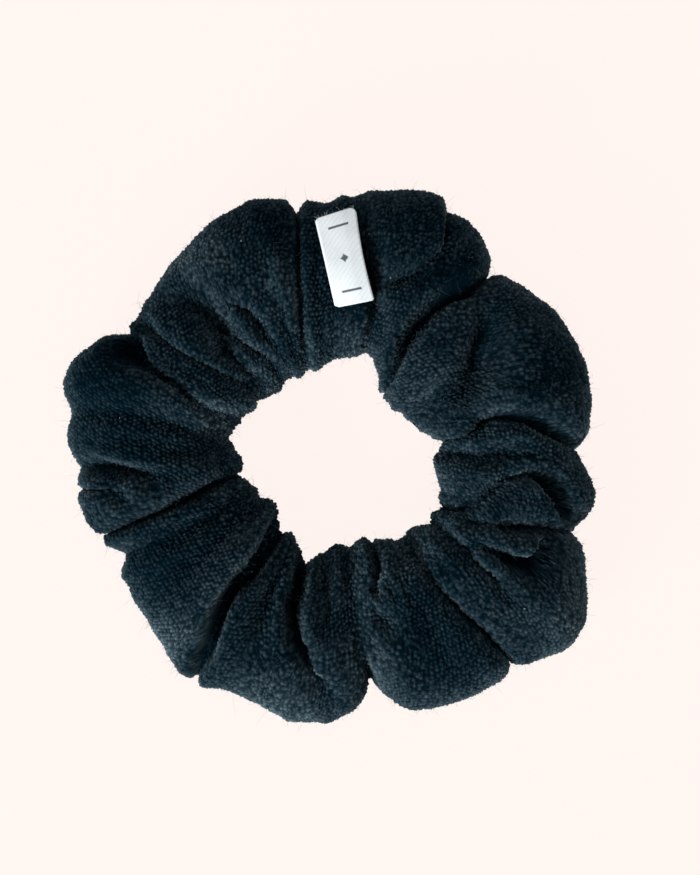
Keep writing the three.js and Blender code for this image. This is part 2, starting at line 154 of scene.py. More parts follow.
AROUND = 1600  # mesh stations along the ring
ACROSS = 360  # mesh points round the tube, without the seam allowances
SQUARENESS = 0.86  # 1 is an elliptical tube, less is boxier
MID_HEIGHT = 12.0  # level of the tube's widest place
REST_SINK = 2.0  # how far the tube would sink if it weren't flattened
REST_LEVEL = 0.35  # lowest level of the cloth
REST_EASE = 1.5  # height over which it flattens
PILE_ALLOWANCE = 0.7  # room left for the pile inside the envelope
CORE = (32.8, 12.5)  # radius and height of the elastic that the gathers are drawn on to
CORE_HALF = (3.0, 5.2)  # half the room kept round it

BANK_POWER = 2.4  # how steeply a fold's banks drop
JOIN_POWER = 2.4  # how folds that cross add up
FLOOR_ROUNDING = 0.15  # radius between a fold's floor and its banks
SHALLOW = 2.5  # folds up to this depth have round bottoms
LIP_START = 0.4  # where a lip begins, as a share of the floor
LIP_REACH = 0.35  # where it leans most, as a share of the bank
FOLD_SMOOTHING = 9  # mesh points that a fold line is smoothed over
UNDER_LOSS = 0.75  # share of its depth that a fold loses underneath
UNDER_DRIFT = 5  # most degrees that it wanders there
TIGHT_FROM = 140  # section angle where the gathers begin to tighten at the hole
TIGHT_SPAN = 40
TIGHT_LOSS = 0.6  # share of their depth that they lose

FLAP_ROWS = 9  # mesh rows of each seam allowance
FLAP_HEIGHT = 5.0  # how far the allowances turn up into the tube
FLAP_LEAN = 0.12  # lean of each of their first rows, away from the seam

LOOP_PITCH = 0.97  # spacing of the knit's loops
LOOP_HEIGHT = 0.62
LOOP_LEAN = 0.12  # how far their tips lean
LOOP_HALF = (0.39, 0.30)  # half length and half width of a loop, in pitches
LOOP_JITTER = 0.46  # how far loops stray, in pitches
LOOP_LEAST = 0.62  # height of the lowest loops, as a share
SCATTER_PITCH = 0.9  # spacing of scattered loops, in pitches
SCATTER_SIZE = 0.2
EVEN_LIMIT = 1.35  # unevenness where scattered loops take over
EVEN_SPAN = 0.4
OPEN_LIMIT = 0.7  # mesh step where the loops begin to fade
OPEN_SPAN = 0.6
OPEN_LEVEL = 0.4  # height that they fade to

TOP_TONE = 0.58  # brightness of pile seen from its tips
SIDE_SHEEN_TONE = 1.1  # painted sheen that is added where the pile is seen from its side
SIDE_POWER = 1.25
CLOUD_SIZE = 6.0  # size and strength of uneven patches
CLOUD_TONE = 0.3
TUFT_TONE = (0.66, 0.68)  # brightness of the darkest loops, and what the palest add
LOOP_GAP_SHADE = 0.13  # brightness between loops, painted shade there
SHADE_START = 2.0  # depth in a fold where the painted shade begins to darken the pile
SHADE_SPAN = 5.5  # depth over which the painted shade turns it black
SHADE_MOST = 0.97
SHADE_POWER = 0.8


def periodic(angle, table, column):
    """A table's column at these angles, smoothly joined all the way round."""
    angles = np.array([row[0] for row in table], float)
    values = np.array([row[column] for row in table], float)
    angles = np.concatenate([angles - 360, angles, angles + 360])
    values = np.tile(values, 3)
    at = np.mod(angle, 360.0)
    k = np.clip(np.searchsorted(angles, at, side="right") - 1, 1, len(angles) - 3)
    t = (at - angles[k]) / (angles[k + 1] - angles[k])
    slope = (values[2:] - values[:-2]) / (angles[2:] - angles[:-2])
    slope = np.concatenate([[0.0], slope, [0.0]])
    span = angles[k + 1] - angles[k]
    return (values[k] * (2 * t**3 - 3 * t**2 + 1) + values[k + 1] * (3 * t**2 - 2 * t**3)
            + slope[k] * span * (t**3 - 2 * t**2 + t) + slope[k + 1] * span * (t**3 - t**2))


def tube_point(theta, psi):
    """Radius and height of the smooth tube at ring angle theta and section angle psi."""
    outer = periodic(theta, ENVELOPE, 1)
    inner = periodic(theta, ENVELOPE, 2)
    top = periodic(theta, ENVELOPE, 3)
    c, s = np.cos(np.radians(psi)), np.sin(np.radians(psi))
    across = np.sign(c) * np.abs(c) ** SQUARENESS
    up = np.abs(s) ** SQUARENESS
    radius = (outer + inner) / 2 + (outer - inner) / 2 * across
    above = MID_HEIGHT + (top - MID_HEIGHT) * up
    below = MID_HEIGHT - (MID_HEIGHT + REST_SINK) * up
    return radius, np.where(s > 0, above, below)


def section_angles(count):
    """Section angles evenly spaced along the skin, from the seam underneath, outwards and over."""
    psi = np.linspace(-90, 270, 3601)
    radius, height = tube_point(np.full_like(psi, 20.0), psi)
    along = np.concatenate([[0], np.cumsum(np.hypot(np.diff(radius), np.diff(height)))])
    return np.interp(np.linspace(0, along[-1], count), along, psi)


def ease(x):
    """Rises smoothly from 0 to 1 as x does."""
    return x * x * (3 - 2 * x)


def unit(vectors):
    return vectors / np.linalg.norm(vectors, axis=-1, keepdims=True)


def noise3(x, y, z, seed):
    """Smooth value noise from -1 to 1."""
    def corner(i, j, k):
        h = (i * 374761393 + j * 668265263 + k * 2147483647 + seed * 974634777) & 0xFFFFFFFF
        h = ((h ^ (h >> 13)) * 1274126177) & 0xFFFFFFFF
        return ((h ^ (h >> 16)) & 0xFFFF) / 32767.5 - 1

    xi, yi, zi = (np.floor(a).astype(np.int64) for a in (x, y, z))
    xf, yf, zf = (a - np.floor(a) for a in (x, y, z))
    xf, yf, zf = (ease(a) for a in (xf, yf, zf))
    total = 0
    for di, wx in ((0, 1 - xf), (1, xf)):
        for dj, wy in ((0, 1 - yf), (1, yf)):
            for dk, wz in ((0, 1 - zf), (1, zf)):
                total = total + wx * wy * wz * corner(xi + di, yi + dj, zi + dk)
    return total


def fold_line(line, psi):
    """A fold's angle, depth and slant factor at each section angle."""
    radii, angles, depths = zip(*sorted(line))
    over = np.clip(psi, 0, 180)
    radius, _ = tube_point(np.full_like(psi, angles[len(angles) // 2]), over)
    angle = np.interp(radius, radii, angles)
    depth = np.interp(radius, radii, depths)
    kernel = np.ones(FOLD_SMOOTHING) / FOLD_SMOOTHING
    margin = FOLD_SMOOTHING // 2
    angle = np.convolve(np.pad(angle, margin, mode="edge"), kernel, mode="valid")
    depth = np.convolve(np.pad(depth, margin, mode="edge"), kernel, mode="valid")
    under = np.clip(np.maximum(-psi, psi - 180) / 90, 0, 1)
    depth = depth * (1 - UNDER_LOSS * under**1.5)
    # Each fold wanders by an amount of its own underneath.
    angle = angle + UNDER_DRIFT * under * math.sin(line[0][1])
    slope = np.gradient(np.radians(angle), radius + np.linspace(0, 1e-6, len(radius)))
    slope = np.where(under > 0, 0, np.clip(radius * slope, -1.5, 1.5))
    return angle, depth, 1 / np.sqrt(1 + slope**2)


def fold_distance(line, theta, psi, radius):
    """Distance anticlockwise from a fold's line, and the fold's depth at each section angle."""
    angle, depth, slant = fold_line(line, psi)
    away = np.mod(theta[:, None] - angle[None, :] + 180, 360) - 180
    return np.radians(away) * radius * slant[None, :], depth


def apply_folds(theta, psi, radius):
    """How far the folds draw the cloth in, how deep in a fold it lies, and its push to the side."""
    gap = np.zeros_like(radius)
    hollow = np.zeros_like(radius)
    push = np.zeros_like(radius)
    for line, banks, floor, lip in VALLEYS + CREASES:
        d, deep = fold_distance(line, theta, psi, radius)
        wide = np.where(d > 0, *banks)
        floor = floor * np.clip(deep / 10, 0.2, 1)[None, :]
        x = np.sqrt(np.maximum(np.abs(d) - floor, 0) ** 2 + FLOOR_ROUNDING**2) / wide
        near = x < 1
        x = np.clip(x, 0, 1)
        rise = (1 - (1 - x) ** BANK_POWER) ** (1 / BANK_POWER)
        sharp = np.clip((deep - SHALLOW) / SHALLOW, 0, 1)[None, :]
        rise = sharp * rise + (1 - sharp) * ease(x)
        gap += np.where(near, deep[None, :] * (1 - rise), 0) ** JOIN_POWER
        side = d > 0 if lip > 0 else d < 0
        reach = np.maximum(np.abs(d) - LIP_START * floor, 0) / (LIP_REACH * wide)
        lean = -lip * reach * np.exp(1 - reach) * np.clip(deep / 5, 0, 1)[None, :]
        push += np.where(side & near, lean, 0)
    gap = gap ** (1 / JOIN_POWER)
    for line, width in HOLLOWS:
        d, deep = fold_distance(line, theta, psi, radius)
        hollow += deep[None, :] * np.exp(-((d / width) ** 2))
    # The gathers are drawn tight at the hole, so they only nick its edge.
    tight = 1 - TIGHT_LOSS * np.clip((psi - TIGHT_FROM) / TIGHT_SPAN, 0, 1)
    return (gap + hollow) * tight, gap, push


def pile_tone_and_painted_light(theta, psi, radius, normal):
    """How pale the pile looks: painted sheen where it is seen from its side, random cloudy unevenness,
    and painted patches of light and shade.
    """
    x = radius * np.cos(np.radians(theta))[:, None]
    y = radius * np.sin(np.radians(theta))[:, None]
    # Painted sheen: the pile is painted paler where its surface turns from the top to the side.
    tone = TOP_TONE + SIDE_SHEEN_TONE * np.clip(1 - np.abs(normal[..., 2]), 0, 1) ** SIDE_POWER
    level = np.sin(np.radians(psi))[None, :] * 2 + 0 * x
    tone = tone * (1 + CLOUD_TONE * noise3(x / CLOUD_SIZE, y / CLOUD_SIZE, level, 61))
    # The patches are on the upper side only.
    upper = np.clip(np.sin(np.radians(psi)) + 0.3, 0, 1)[None, :]
    # Each patch paints light or shade into the pile's colour.
    for angle, at, size, gain in PAINTED_LIGHT_PATCHES:
        turn = math.radians(angle)
        away = (x - at * math.cos(turn)) ** 2 + (y - at * math.sin(turn)) ** 2
        tone = tone * (1 + gain * upper * np.exp(-away / size**2))
    return tone


def wrinkles(theta, psi):
    """Small uneven swellings of soft cloth, longer across the ring than along it."""
    t, p = np.meshgrid(np.radians(theta), np.radians(psi), indexing="ij")
    c, s = np.cos(t), np.sin(t)
    broad = noise3(c * 5.5, s * 5.5, p * 1.1, 3)
    fine = noise3(c * 14, s * 14, p * 1.7, 8)
    small = noise3(c * 26, s * 26, p * 4.5, 12)
    inner = np.clip((np.cos(p) - 0.35) / -1.35, 0, 1)
    ruffle = noise3(c * 12, s * 12, p * 0.5, 21)
    return 0.8 * broad + 0.45 * fine + 0.22 * small + 0.7 * inner * ruffle


def sleeve_surface(theta, psi):
    """How deep in a fold the cloth lies, and its points, at ring angles by section angles."""
    t, p = np.meshgrid(theta, psi, indexing="ij")
    radius, height = tube_point(t, p)
    depth, gap, push = apply_folds(theta, psi, radius)
    swell = wrinkles(theta, psi)
    # Folds run in towards the elastic, and stop clear of it.
    to_r, to_z = CORE[0] - radius, CORE[1] - height
    length = np.hypot(to_r, to_z)
    core = length / np.hypot(to_r / CORE_HALF[0], to_z / CORE_HALF[1])
    move = np.minimum(depth - swell + PILE_ALLOWANCE, length - core)
    radius = radius + to_r / length * move
    height = height + to_z / length * move
    angle = np.radians(t) + push / np.maximum(radius, 10)
    over = height - REST_LEVEL - REST_EASE
    flat = REST_LEVEL + REST_EASE * np.exp(np.clip(over / REST_EASE, -6, 0))
    height = np.where(over < 0, flat, height)
    return gap, np.stack([radius * np.cos(angle), radius * np.sin(angle), height], axis=-1)


def ring_angles(psi):
    """Ring angles of the mesh stations, closer together where the folds are steep."""
    theta = np.linspace(0, 360, 1441)
    _, grid = sleeve_surface(theta, psi[::8])
    step = np.linalg.norm(np.diff(grid, axis=0), axis=-1).mean(axis=1)
    along = np.concatenate([[0], np.cumsum(step**0.75)])
    return np.interp(np.linspace(0, along[-1], AROUND, endpoint=False), along, theta)


def surface_normals(grid):
    """Unit normals that point out of the tube."""
    along = np.roll(grid, -1, axis=0) - np.roll(grid, 1, axis=0)
    across = np.gradient(grid, axis=1)
    normal = np.cross(along, across)
    return normal / np.maximum(np.linalg.norm(normal, axis=-1, keepdims=True), 1e-9)


def cloth_coordinates(theta, psi, grid):
    """Lengths along the cloth, across each lobe from its middle and round the tube from its top."""
    step = np.linalg.norm(np.roll(grid, -1, axis=0) - grid, axis=-1)
    along = np.concatenate([np.zeros((1, grid.shape[1])), np.cumsum(step, axis=0)])
    total = along[-1]
    lines = np.array([np.mod(fold_line(line, psi)[0], 360) for line, *_ in VALLEYS])
    u = np.zeros(grid.shape[:2])
    lobe = np.zeros(grid.shape[:2])
    for j in range(grid.shape[1]):
        edges = np.sort(lines[:, j])
        which = np.searchsorted(edges, theta, side="right") % len(edges)
        previous = edges[which - 1]
        span = np.mod(edges[which] - previous, 360)
        centre = previous + span / 2
        at = np.interp(np.mod(centre, 360), np.append(theta, 360), along[:, j])
        half = total[j] / 2
        u[:, j] = np.mod(along[:-1, j] - at + half, total[j]) - half
        lobe[:, j] = which
    rise = np.linalg.norm(np.diff(grid, axis=1), axis=-1)
    v = np.concatenate([np.zeros((grid.shape[0], 1)), np.cumsum(rise, axis=1)], axis=1)
    top = np.argmin(np.abs(psi - 90))
    return u, v - v[:, top:top + 1], lobe


def cell_random(i, j, seed):
    """A fixed random number from 0 to 1 for each cell i, j."""
    h = (i.astype(np.int64) * 73856093 ^ j.astype(np.int64) * 19349663 ^ seed * 83492791) & 0xFFFFFFFF
    h = ((h ^ (h >> 15)) * 2246822519) & 0xFFFFFFFF
    return ((h ^ (h >> 13)) & 0xFFFF) / 65535.0


def loop_field(u, v, lobe):
    """Height, from 0 to 1, of the pile at cloth coordinates u, v, and a number for each loop."""
    a = u / LOOP_PITCH
    b = v / LOOP_PITCH
    # The rows wander a little, as gathered knit does.
    a = a + 0.35 * noise3(u / 9, v / 14, lobe * 3.7, 31)
    b = b + 0.35 * noise3(u / 8, v / 10, lobe * 5.1, 37)
    row = np.floor(b)
    best = np.zeros_like(u)
    tuft = np.zeros_like(u)
    for dj in (-1, 0, 1):
        j = row + dj
        shift = 0.5 * np.mod(j, 2)
        column = np.floor(a - shift)
        for di in (-1, 0, 1):
            i = column + di
            key = i + lobe * 977
            ca = i + 0.5 + shift + LOOP_JITTER * (cell_random(key, j, 1) - 0.5)
            cb = j + 0.5 + LOOP_JITTER * (cell_random(key, j, 2) - 0.5)
            size = LOOP_LEAST + (1 - LOOP_LEAST) * cell_random(key, j, 3)
            turn = (cell_random(key, j, 4) - 0.5) * 2.4 + 0.6
            da, db = a - ca, b - cb
            lengthways = da * np.cos(turn) + db * np.sin(turn)
            sideways = db * np.cos(turn) - da * np.sin(turn)
            bump = size * np.exp(-((lengthways / LOOP_HALF[0]) ** 2) - (sideways / LOOP_HALF[1]) ** 2)
            tuft = np.where(bump > best, cell_random(key, j, 5), tuft)
            best = np.maximum(best, bump)
    return best, tuft


def scattered_loops(points):
    """The same pile from loops scattered evenly in space."""
    at = points / (SCATTER_PITCH * LOOP_PITCH)
    cell = np.floor(at)
    closest = np.full(len(points), np.inf)
    tuft = np.zeros(len(points))
    for step in np.ndindex(3, 3, 3):
        corner = cell + step - 1
        key = corner[:, 0] + 613 * corner[:, 2]
        jitter = np.stack([cell_random(key, corner[:, 1], seed) for seed in (6, 7, 8)], axis=-1)
        away = ((at - corner - 0.1 - 0.8 * jitter) ** 2).sum(axis=-1)
        tuft = np.where(away < closest, cell_random(key, corner[:, 1], 9), tuft)
        closest = np.minimum(closest, away)
    return np.exp(-closest / SCATTER_SIZE), tuft


def unevenness(u, v, grid):
    """How far cloth coordinates are from square on the surface: 1 where they are square."""
    def slopes(field):
        """Change from one mesh point to the next, along the ring and across the tube."""
        return np.roll(field, -1, axis=0) - field, np.gradient(field, axis=1)

    a, b = slopes(grid)
    aa, ab, bb = (a * a).sum(-1), (a * b).sum(-1), (b * b).sum(-1)
    (ua, ub), (va, vb) = slopes(u), slopes(v)
    haa, hab, hbb = ua**2 + va**2, ua * ub + va * vb, ub**2 + vb**2
    area = np.maximum(aa * bb - ab**2, 1e-9)
    half = (bb * haa - 2 * ab * hab + aa * hbb) / area / 2
    product = np.maximum((haa * hbb - hab**2) / area, 1e-6)
    root = np.sqrt(np.maximum(half**2 - product, 0))
    return np.sqrt((half + root) / np.maximum(half - root, 1e-3))


def pile(theta, psi, grid):
    """Height of the looped pile over the grid, a number from 0 to 1 for each loop, and its lean."""
    u, v, lobe = cloth_coordinates(theta, psi, grid)
    loops, tuft = loop_field(u, v, lobe)
    # Rows would smear where folds slant over a steep bank, so the loops are scattered there.
    share = np.clip((unevenness(u, v, grid) - EVEN_LIMIT) / EVEN_SPAN, 0, 1)
    steep = share > 0
    scattered, number = scattered_loops(grid[steep])
    loops[steep] += share[steep] * (scattered - loops[steep])
    tuft[steep] = np.where(share[steep] > 0.5, number, tuft[steep])
    # Loops fade out where the mesh is too open to hold them, deep on the banks.
    step = np.linalg.norm(np.roll(grid, -1, axis=0) - np.roll(grid, 1, axis=0), axis=-1) / 2
    fade = np.clip((step - OPEN_LIMIT) / OPEN_SPAN, 0, 1)
    return loops + fade * (OPEN_LEVEL - loops), tuft, noise3(u / 3, v / 3, lobe, 51)


def add_object(name, data):
    obj = bpy.data.objects.new(name, data)
    bpy.context.scene.collection.objects.link(obj)
    return obj


def to_mesh(name, points, faces, material):
    """A mesh object from millimetre points."""
    mesh = bpy.data.meshes.new(name)
    points = np.asarray(points, np.float32).reshape(-1, 3) * MM
    faces = np.asarray(faces, np.int32)
    size = faces.shape[1]
    mesh.vertices.add(len(points))
    mesh.vertices.foreach_set("co", points.ravel())
    mesh.loops.add(faces.size)
    mesh.loops.foreach_set("vertex_index", faces.ravel())
    mesh.polygons.add(len(faces))
    mesh.polygons.foreach_set("loop_start", np.arange(len(faces), dtype=np.int32) * size)
    mesh.polygons.foreach_set("use_smooth", np.full(len(faces), True))
    mesh.update(calc_edges=True)
    mesh.validate()
    mesh.materials.append(material)
    return add_object(name, mesh)


def grid_faces(rows, columns, wrap_rows):
    """Quads of a grid of points, closed from its last row to its first if wrap_rows is set."""
    count = rows if wrap_rows else rows - 1
    i, j = np.meshgrid(np.arange(count), np.arange(columns - 1), indexing="ij")
    n = (i + 1) % rows
    here, there = i * columns + j, n * columns + j
    return np.stack([here, there, there + 1, here + 1], axis=-1).reshape(-1, 4)


def seam_allowance(edge, outside):
    """Rows of cloth that turn up into the tube from an edge of its underside."""
    flat = edge.copy()
    flat[..., 2] = 0
    radial = unit(flat)
    rows = []
    for k in range(1, FLAP_ROWS + 1):
        up = FLAP_HEIGHT * k / FLAP_ROWS
        row = edge.copy()
        row[..., 2] = edge[..., 2] + up
        rows.append(row - radial * outside * FLAP_LEAN * min(k, 3))
    return rows


def add_attribute(obj, name, values):
    """A number for each vertex, for the material to read."""
    layer = obj.data.attributes.new(name, "FLOAT", "POINT")
    layer.data.foreach_set("value", np.asarray(values, np.float32).ravel())


def add_uv(obj, name, u, v):
    """A UV layer from one value for each vertex."""
    layer = obj.data.uv_layers.new(name=name)
    index = np.zeros(len(obj.data.loops), np.int32)
    obj.data.loops.foreach_get("vertex_index", index)
    uv = np.stack([u[index], v[index]], axis=-1).astype(np.float32)
    layer.data.foreach_set("uv", uv.ravel())


def add_sleeve_uv(sleeve, rows, columns):
    """Lays the ring out for baking as two strips, one for each half."""
    i, j = np.meshgrid(np.arange(rows), np.arange(columns - 1), indexing="ij")
    half = rows // 2
    strip = i // half
    corners = []
    for di, dj in ((0, 0), (1, 0), (1, 1), (0, 1)):
        along = (i + di - strip * half) / half
        across = (j + dj) / (columns - 1)
        corners.append(np.stack([along, (strip + 0.01 + 0.98 * across) / 2], axis=-1))
    uv = np.stack(corners, axis=2).astype(np.float32)
    sleeve.data.uv_layers.new(name="OFBake").data.foreach_set("uv", uv.ravel())


def fabric_sleeve(material):
    """The gathered cloth with its looped pile, as one sheet that is open along the seam underneath."""
    psi = section_angles(ACROSS)
    theta = ring_angles(psi)
    gap, grid = sleeve_surface(theta, psi)
    normal = surface_normals(grid)
    loops, tuft, lean = pile(theta, psi, grid)
    radius = np.hypot(grid[..., 0], grid[..., 1])
    # Painted sheen and painted patches of light and shade, with the pile's random unevenness and tufts.
    tone = pile_tone_and_painted_light(theta, psi, radius, normal) * (TUFT_TONE[0] + TUFT_TONE[1] * tuft)
    # Painted shade between the loops, added to the shade that their relief casts.
    tone = tone * (LOOP_GAP_SHADE + (1 - LOOP_GAP_SHADE) * loops)
    # Painted shade deep in the folds, turning the pile black there.
    tone = tone * (1 - SHADE_MOST * np.clip((gap - SHADE_START) / SHADE_SPAN, 0, 1) ** SHADE_POWER)
    # The loops are pressed flat where the ring rests, and nothing goes through the surface.
    flatten = np.clip((grid[..., 2] - 0.2) / 2.0, 0.15, 1)
    rise = normal * (loops * LOOP_HEIGHT * flatten)[..., None]
    lean = lean[..., None] * np.cross(normal, [0, 0, 1.0])
    skin = grid + rise + LOOP_LEAN * lean * loops[..., None]
    skin[..., 2] = np.maximum(skin[..., 2], 0.05)
    first = seam_allowance(skin[:, 0], 1)[::-1]
    last = seam_allowance(skin[:, -1], -1)
    points = np.stack([*first, *[skin[:, j] for j in range(ACROSS)], *last], axis=1)
    rows, columns = points.shape[:2]
    sleeve = to_mesh("terry_sleeve", points, grid_faces(rows, columns, True), material)
    rim = ((0, 0), (FLAP_ROWS, FLAP_ROWS))
    # The tone, with its painted light and shade, goes to the material.
    add_attribute(sleeve, "tone", np.pad(tone, rim, constant_values=0.3))
    add_sleeve_uv(sleeve, rows, columns)
    return sleeve, skin, normal, gap


# ------------------------ fibres

FIBRES = 7000
FIBRE_RADIUS = 0.024
FIBRE_LENGTHS = (0.5, 1.5)
LONG_SHARE = 0.06  # share of the fibres that are twice as long
CLEAR_GAP = 3  # no loose fibres stand deeper in a fold than this
LINT_SIZE = 0.24  # radius that a speck of lint curls to
# Specks of pale lint caught in the pile: angle and radius.
LINT = [(71, 39.7), (79.6, 47.3), (116.5, 32.5), (351, 46), (112, 49), (236, 30), (170, 45), (322, 52)]


def fibre_mesh(name, paths, radii, material):
    """Thin three-sided tapering hairs. paths is hairs by points by 3, radii one for each point."""
    paths = np.asarray(paths, float)
    count, points = paths.shape[:2]
    along = unit(paths[:, -1] - paths[:, 0])
    helper = np.where(np.abs(along[:, 2:]) < 0.8, [[0, 0, 1.0]], [[1.0, 0, 0]])
    side = unit(np.cross(along, helper))
    other = np.cross(along, side)
    rings = []
    for k in range(3):
        turn = 2 * math.pi * k / 3
        offset = side * math.cos(turn) + other * math.sin(turn)
        rings.append(paths + offset[:, None] * np.asarray(radii)[None, :, None])
    vertices = np.stack(rings, axis=2).reshape(-1, 3)
    faces = []
    for m in range(points - 1):
        for k in range(3):
            n = (k + 1) % 3
            a, b, c, d = m * 3 + k, m * 3 + n, (m + 1) * 3 + n, (m + 1) * 3 + k
            faces += [(a, b, c), (a, c, d)]
    last = (points - 1) * 3
    faces += [(2, 1, 0), (last, last + 1, last + 2)]
    faces = np.array(faces)[None] + (np.arange(count) * points * 3)[:, None, None]
    obj = to_mesh(name, vertices, faces.reshape(-1, 3), material)
    index = np.arange(len(vertices)) % (points * 3)
    add_uv(obj, "OFBake", 0.1 + 0.8 * (index % 3) / 2, 0.1 + 0.8 * (index // 3) / (points - 1))
    return obj


def surface_fuzz(skin, normal, gap, material):
    """Loose microfibre hairs that stand out of the pile."""
    rng = np.random.default_rng(7)
    area = np.cross(np.roll(skin, -1, axis=0) - skin, np.gradient(skin, axis=1))
    area = np.linalg.norm(area, axis=-1)
    weight = np.where((skin[..., 2] > 2.0) & (gap < CLEAR_GAP), area, 0).ravel()
    chosen = rng.choice(weight.size, FIBRES, p=weight / weight.sum(), replace=False)
    root = skin.reshape(-1, 3)[chosen]
    out = normal.reshape(-1, 3)[chosen]
    lean = out * 0.7 + rng.normal(0, 0.6, (FIBRES, 3))
    lean = unit(lean)
    bend = rng.normal(0, 0.45, (FIBRES, 3))
    length = rng.uniform(*FIBRE_LENGTHS, (FIBRES, 1))
    length = length * np.where(rng.random((FIBRES, 1)) < LONG_SHARE, 2.0, 1.0)
    start = root - out * 0.15
    middle = start + lean * length * 0.55
    end = start + (lean + bend) * length
    end[:, 2] = np.maximum(end[:, 2], 0.1)
    paths = np.stack([start, middle, end], axis=1)
    radii = [FIBRE_RADIUS, FIBRE_RADIUS * 0.8, FIBRE_RADIUS * 0.3]
    return fibre_mesh("surface_fuzz", paths, radii, material)


def lint_specks(skin, material):
    """Short pale curls that lie on the pile."""
    rng = np.random.default_rng(19)
    flat = skin.reshape(-1, 3)
    flat = flat[flat[:, 2] > MID_HEIGHT]
    paths = []
    for angle, radius in LINT:
        at = math.radians(angle)
        spot = np.array([radius * math.cos(at), radius * math.sin(at)])
        near = np.argmin(((flat[:, :2] - spot) ** 2).sum(axis=1))
        start = rng.uniform(0, 6)
        steps = np.linspace(0, 1, 5)
        turn = start + 2.5 * steps
        rise = 0.6 * np.sin(3 * steps)
        curl = np.stack([np.cos(turn) - math.cos(start), np.sin(turn) - math.sin(start), rise], axis=-1)
        paths.append(flat[near] + [0, 0, 0.05] + LINT_SIZE * curl)
    return fibre_mesh("lint_specks", paths, [0.03, 0.05, 0.06, 0.05, 0.03], material)


# ------------------------ the label

# The label's sewn and folded edges, from the outer end to the end at the hole.
LABEL_SEWN = ((5.4, 52.5), (9.3, 32.6))
LABEL_FOLD = ((-2.5, 50.1), (1.8, 31.2))
LABEL_MIDDLE = (3, 42)  # roughly where its middle lies
LABEL_REACH = (8, 13)  # how far from there the cloth under it is looked for
LABEL_BOW = 0.5  # how far the sewn edge curves in at its middle
LABEL_CORNER = 1.2  # radius of the corners of the cut ends
LABEL_WIDTH = 8.2  # sewn edge to fold
LABEL_LENGTH = 20.0  # width of the ribbon
LABEL_SINK = 4.0  # length of ribbon held in the seam
LABEL_OPEN = 0.28  # half the gap between the layers
RIBBON = 0.33  # thickness of one layer
LABEL_ROWS = 121  # mesh points along the fold
LAYER_STEPS = 56  # mesh points across each layer
SINK_STEPS = 9  # mesh points down into the seam
BEND_STEPS = 11  # mesh points round the fold
WEAVE_LENGTH = 30  # length that the UV layouts are measured in
MARK_CENTRE = (4.1, 10.0)  # middle of the woven marks, from the sewn edge and the outer end
BAR_OFFSET = 7.0  # from there to each bar
BAR_HALF = (2.2, 0.22)  # half the length and width of a bar
DIAMOND_HALF = 0.9
FRAY_THREADS = 34


def label_outline(t, s):
    """Plan position at share t from sewn edge to fold and share s from the outer end inwards."""
    sewn = np.outer(1 - s, LABEL_SEWN[0]) + np.outer(s, LABEL_SEWN[1])
    fold = np.outer(1 - s, LABEL_FOLD[0]) + np.outer(s, LABEL_FOLD[1])
    across = fold - sewn
    bow = 4 * s * (1 - s)
    return sewn + unit(across) * (LABEL_BOW * bow * (1 - t))[:, None] + across * t[:, None]


def label_rest(skin):
    """The flap's height where it lies on the sleeve, as a, b, c, d of a + b t + c s + d s squared."""
    t, s = np.meshgrid(np.linspace(0.15, 1, 12), np.linspace(0, 1, 24), indexing="ij")
    t, s = t.ravel(), s.ravel()
    spots = label_outline(t, s)
    flat = skin.reshape(-1, 3)
    beside = np.all(np.abs(flat[:, :2] - LABEL_MIDDLE) < LABEL_REACH, axis=1)
    near = flat[beside & (flat[:, 2] > MID_HEIGHT)]
    height = np.empty(len(spots))
    for k, spot in enumerate(spots):
        close = ((near[:, :2] - spot) ** 2).sum(axis=1) < 0.5**2
        height[k] = near[close, 2].max() if close.any() else 0
    terms = np.stack([np.ones_like(t), t, s, s**2], axis=-1)
    kept = height > MID_HEIGHT
    fit, *_ = np.linalg.lstsq(terms[kept], height[kept], rcond=None)
    # It rests on the highest places of the pile, and presses a few of them down.
    gap = terms[kept] @ fit - height[kept]
    fit[0] += RIBBON + LABEL_OPEN + 0.1 - np.quantile(gap, 0.12)
    return fit


def ribbon_path():
    """The ribbon's middle line across its width: share across, height and depth in the seam."""
    down = np.linspace(LABEL_SINK, 0.5, SINK_STEPS)
    half = RIBBON / 2 + LABEL_OPEN
    bend = np.radians(np.linspace(-80, 80, BEND_STEPS))
    flat = 0.02 + 0.98 * (1 - np.cos(np.pi * np.linspace(0, 1, LAYER_STEPS))) / 2
    # The layers part from the sewn edge to the fold, and the upper one swells a little.
    parted = half * (0.45 + 0.55 * np.minimum(1, flat * 3))
    upper = parted + 0.12 * np.sin(np.pi * flat)
    rows = [(0.012 + 0.03 * d / LABEL_SINK, -half, d) for d in down]
    rows += [(t, -up, 0) for t, up in zip(flat[:-1], parted[:-1])]
    rows += [(1 + half * math.cos(a) / LABEL_WIDTH, half * math.sin(a), 0) for a in bend]
    rows += [(t, up, 0) for t, up in zip(flat[::-1][1:], upper[::-1][1:])]
    rows += [(0.008 - 0.02 * turn, half * 0.45, 0.12 * turn) for turn in (0.4, 0.8)]
    rows += [(-0.012 + 0.05 * d / LABEL_SINK, half * 0.4, d) for d in down[::-1]]
    return np.array(rows)


